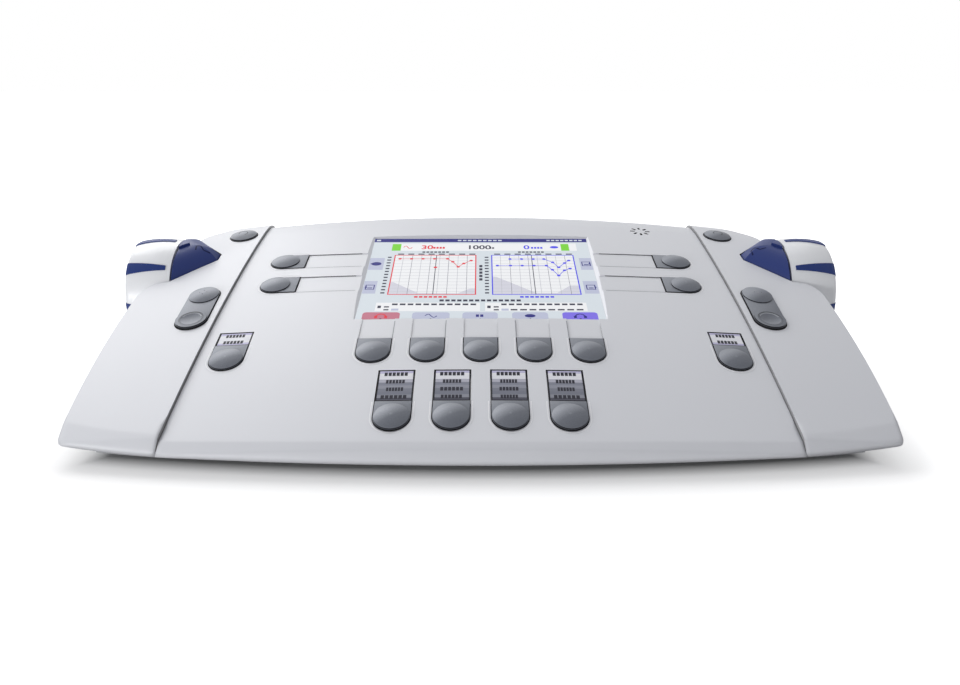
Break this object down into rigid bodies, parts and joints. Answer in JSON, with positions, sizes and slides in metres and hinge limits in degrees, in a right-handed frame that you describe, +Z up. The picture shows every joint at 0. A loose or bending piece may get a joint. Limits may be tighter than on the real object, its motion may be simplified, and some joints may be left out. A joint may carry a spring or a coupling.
{
  "type": "desktop audiometer",
  "caption": "Wedge-shaped desktop audiometer with a colour screen, soft keys, cheek rockers, blue tone bars and a large side dial at each end.",
  "frame": {"origin": "centre of the overall box at table height", "axes": "+X to the user's right, +Y to the back, +Z up"},
  "size_m": [0.36, 0.2168, 0.0657],
  "materials": {
    "cover_moulding": "fine satin texture",
    "case_moulding": "fine satin texture",
    "key_cap": "metallic grey lacquer",
    "dial_moulding": "smooth",
    "blue_grip": "soft grip strips",
    "blue_bar": "satin",
    "display_glass": "anti-glare window over a lit screen",
    "label_clear": "clear window over a printed strip",
    "dark_metal": "dark finish",
    "panel_paint": "satin paint",
    "bright_steel": "plated",
    "black_plastic": "moulded",
    "foot_rubber": "moulded",
    "circuit_board": "solder mask"
  },
  "bodies": {
    "console": {"lower_case": "case_moulding", "centre_cover": "cover_moulding", "left_cheek_cover": "cover_moulding", "right_cheek_cover": "cover_moulding", "display_window": "display_glass", "lcd_module": "dark_metal", "lcd_bracket": "bright_steel", "label_windows": "label_clear", "main_board": "circuit_board", "centre_key_board": "circuit_board", "left_key_board": "circuit_board", "right_key_board": "circuit_board", "tact_switches": "black_plastic", "case_screws": "bright_steel", "board_screws": "bright_steel", "rubber_feet": "foot_rubber", "monitor_speaker": "dark_metal", "left_encoder": "dark_metal", "right_encoder": "dark_metal", "tone_bar_pins": "bright_steel", "rocker_pins": "bright_steel", "rear_panel": "panel_paint", "jack_1": "black_plastic", "jack_2": "black_plastic", "jack_3": "black_plastic", "jack_4": "black_plastic", "jack_5": "black_plastic", "jack_6": "black_plastic", "usb_socket": "bright_steel", "power_inlet": "black_plastic", "power_switch_frame": "black_plastic"},
    "left_dial_turn": {"left_dial": "dial_moulding", "left_dial_grips": "blue_grip", "left_dial_shaft": "bright_steel"},
    "right_dial_turn": {"right_dial": "dial_moulding", "right_dial_grips": "blue_grip", "right_dial_shaft": "bright_steel"},
    "left_tone_bar": {"left_tone_bar": "blue_bar"},
    "right_tone_bar": {"right_tone_bar": "blue_bar"},
    "soft_key_1": {"soft_key_1": "key_cap"},
    "soft_key_2": {"soft_key_2": "key_cap"},
    "soft_key_3": {"soft_key_3": "key_cap"},
    "soft_key_4": {"soft_key_4": "key_cap"},
    "soft_key_5": {"soft_key_5": "key_cap"},
    "side_key_left_back": {"side_key_left_back": "key_cap"},
    "side_key_left_front": {"side_key_left_front": "key_cap"},
    "side_key_right_back": {"side_key_right_back": "key_cap"},
    "side_key_right_front": {"side_key_right_front": "key_cap"},
    "function_key_1": {"function_key_1": "key_cap"},
    "function_key_2": {"function_key_2": "key_cap"},
    "function_key_3": {"function_key_3": "key_cap"},
    "function_key_4": {"function_key_4": "key_cap"},
    "talk_key": {"talk_key": "key_cap"},
    "monitor_key": {"monitor_key": "key_cap"},
    "left_round_key": {"left_round_key": "key_cap"},
    "right_round_key": {"right_round_key": "key_cap"},
    "left_rocker": {"left_rocker": "key_cap"},
    "right_rocker": {"right_rocker": "key_cap"},
    "power_rocker": {"power_rocker": "black_plastic"}
  },
  "joints": [
    {"name": "left_dial_spin", "type": "hinge", "parent": "console", "child": "left_dial_turn", "pos_m": [-0.17, 0.04023, 0.03407], "axis": [1, 0, 0], "continuous": true},
    {"name": "right_dial_spin", "type": "hinge", "parent": "console", "child": "right_dial_turn", "pos_m": [0.17, 0.04023, 0.03407], "axis": [1, 0, 0], "continuous": true},
    {"name": "left_tone_bar_press", "type": "hinge", "parent": "console", "child": "left_tone_bar", "pos_m": [-0.147, 0.05844, 0.04368], "axis": [1, 0, 0], "range_deg": [0, 2.2], "stiffness_Nm_per_rad": 1.2, "springref_deg": -1.15},
    {"name": "right_tone_bar_press", "type": "hinge", "parent": "console", "child": "right_tone_bar", "pos_m": [0.147, 0.05844, 0.04368], "axis": [1, 0, 0], "range_deg": [0, 2.2], "stiffness_Nm_per_rad": 1.2, "springref_deg": -1.15},
    {"name": "soft_key_1_press", "type": "slide", "parent": "console", "child": "soft_key_1", "axis": [0.0232, 0.3107, -0.9502], "range_m": [0, 0.0008], "stiffness_N_per_m": 400, "springref_m": -0.001},
    {"name": "soft_key_2_press", "type": "slide", "parent": "console", "child": "soft_key_2", "axis": [0.0116, 0.3107, -0.9504], "range_m": [0, 0.0008], "stiffness_N_per_m": 400, "springref_m": -0.001},
    {"name": "soft_key_3_press", "type": "slide", "parent": "console", "child": "soft_key_3", "axis": [0, 0.3107, -0.9505], "range_m": [0, 0.0008], "stiffness_N_per_m": 400, "springref_m": -0.001},
    {"name": "soft_key_4_press", "type": "slide", "parent": "console", "child": "soft_key_4", "axis": [-0.0116, 0.3107, -0.9504], "range_m": [0, 0.0008], "stiffness_N_per_m": 400, "springref_m": -0.001},
    {"name": "soft_key_5_press", "type": "slide", "parent": "console", "child": "soft_key_5", "axis": [-0.0232, 0.3107, -0.9502], "range_m": [0, 0.0008], "stiffness_N_per_m": 400, "springref_m": -0.001},
    {"name": "side_key_left_back_press", "type": "slide", "parent": "console", "child": "side_key_left_back", "axis": [0.0495, 0.2305, -0.9718], "range_m": [0, 0.0008], "stiffness_N_per_m": 400, "springref_m": -0.001},
    {"name": "side_key_left_front_press", "type": "slide", "parent": "console", "child": "side_key_left_front", "axis": [0.0495, 0.2549, -0.9657], "range_m": [0, 0.0008], "stiffness_N_per_m": 400, "springref_m": -0.001},
    {"name": "side_key_right_back_press", "type": "slide", "parent": "console", "child": "side_key_right_back", "axis": [-0.0495, 0.2305, -0.9718], "range_m": [0, 0.0008], "stiffness_N_per_m": 400, "springref_m": -0.001},
    {"name": "side_key_right_front_press", "type": "slide", "parent": "console", "child": "side_key_right_front", "axis": [-0.0495, 0.2549, -0.9657], "range_m": [0, 0.0008], "stiffness_N_per_m": 400, "springref_m": -0.001},
    {"name": "function_key_1_press", "type": "slide", "parent": "console", "child": "function_key_1", "axis": [0.0174, 0.3409, -0.9399], "range_m": [0, 0.0008], "stiffness_N_per_m": 400, "springref_m": -0.001},
    {"name": "function_key_2_press", "type": "slide", "parent": "console", "child": "function_key_2", "axis": [0.0058, 0.3409, -0.9401], "range_m": [0, 0.0008], "stiffness_N_per_m": 400, "springref_m": -0.001},
    {"name": "function_key_3_press", "type": "slide", "parent": "console", "child": "function_key_3", "axis": [-0.0058, 0.3409, -0.9401], "range_m": [0, 0.0008], "stiffness_N_per_m": 400, "springref_m": -0.001},
    {"name": "function_key_4_press", "type": "slide", "parent": "console", "child": "function_key_4", "axis": [-0.0174, 0.3409, -0.9399], "range_m": [0, 0.0008], "stiffness_N_per_m": 400, "springref_m": -0.001},
    {"name": "talk_key_press", "type": "slide", "parent": "console", "child": "talk_key", "axis": [0.0546, 0.3076, -0.9499], "range_m": [0, 0.0008], "stiffness_N_per_m": 400, "springref_m": -0.001},
    {"name": "monitor_key_press", "type": "slide", "parent": "console", "child": "monitor_key", "axis": [-0.0546, 0.3076, -0.9499], "range_m": [0, 0.0008], "stiffness_N_per_m": 400, "springref_m": -0.001},
    {"name": "left_round_key_press", "type": "slide", "parent": "console", "child": "left_round_key", "axis": [0.0654, 0.1969, -0.9782], "range_m": [0, 0.0008], "stiffness_N_per_m": 400, "springref_m": -0.001},
    {"name": "right_round_key_press", "type": "slide", "parent": "console", "child": "right_round_key", "axis": [-0.0654, 0.1969, -0.9782], "range_m": [0, 0.0008], "stiffness_N_per_m": 400, "springref_m": -0.001},
    {"name": "left_rocker_rock", "type": "hinge", "parent": "console", "child": "left_rocker", "pos_m": [-0.13257, -0.01248, 0.03414], "axis": [0.9978, -0.0161, 0.0645], "range_deg": [-2.2, 2.2], "stiffness_Nm_per_rad": 0.6},
    {"name": "right_rocker_rock", "type": "hinge", "parent": "console", "child": "right_rocker", "pos_m": [0.13257, -0.01248, 0.03414], "axis": [0.9978, 0.0161, -0.0645], "range_deg": [-2.2, 2.2], "stiffness_Nm_per_rad": 0.6},
    {"name": "power_rocker_tip", "type": "hinge", "parent": "console", "child": "power_rocker", "pos_m": [0.087, 0.09559, 0.022], "axis": [0, 0, 1], "range_deg": [-14, 0]}
  ]
}
